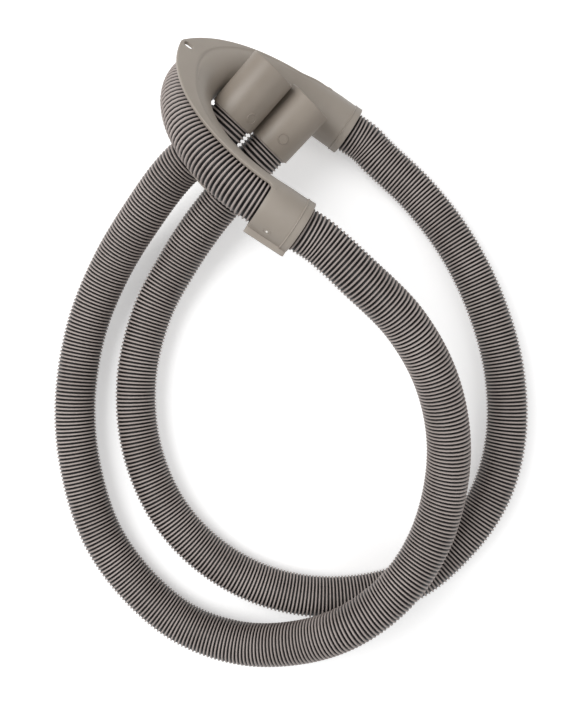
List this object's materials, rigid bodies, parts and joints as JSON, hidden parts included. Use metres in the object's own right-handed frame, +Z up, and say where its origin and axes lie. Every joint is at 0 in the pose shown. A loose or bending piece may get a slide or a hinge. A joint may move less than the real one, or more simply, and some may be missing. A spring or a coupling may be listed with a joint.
{
  "type": "washing machine drain hose",
  "caption": "Corrugated drain hose for a washing machine, laid in loose turns, with a smooth sleeve on each end and a moulded U-bend guide that hooks it over a sink.",
  "frame": {"origin": "on the surface the hose lies on, under the middle of the whole part", "axes": "+Y along the long way of the turns towards the guide, +Z up from the surface"},
  "size_m": [0.3291, 0.41, 0.1133],
  "materials": {
    "hose": "satin",
    "sleeve": "satin",
    "guide": "satin"
  },
  "bodies": {
    "root": {"drain_hose": "hose", "hose_guide": "guide", "end_sleeve_a": "sleeve", "end_sleeve_b": "sleeve"}
  },
  "joints": []
}
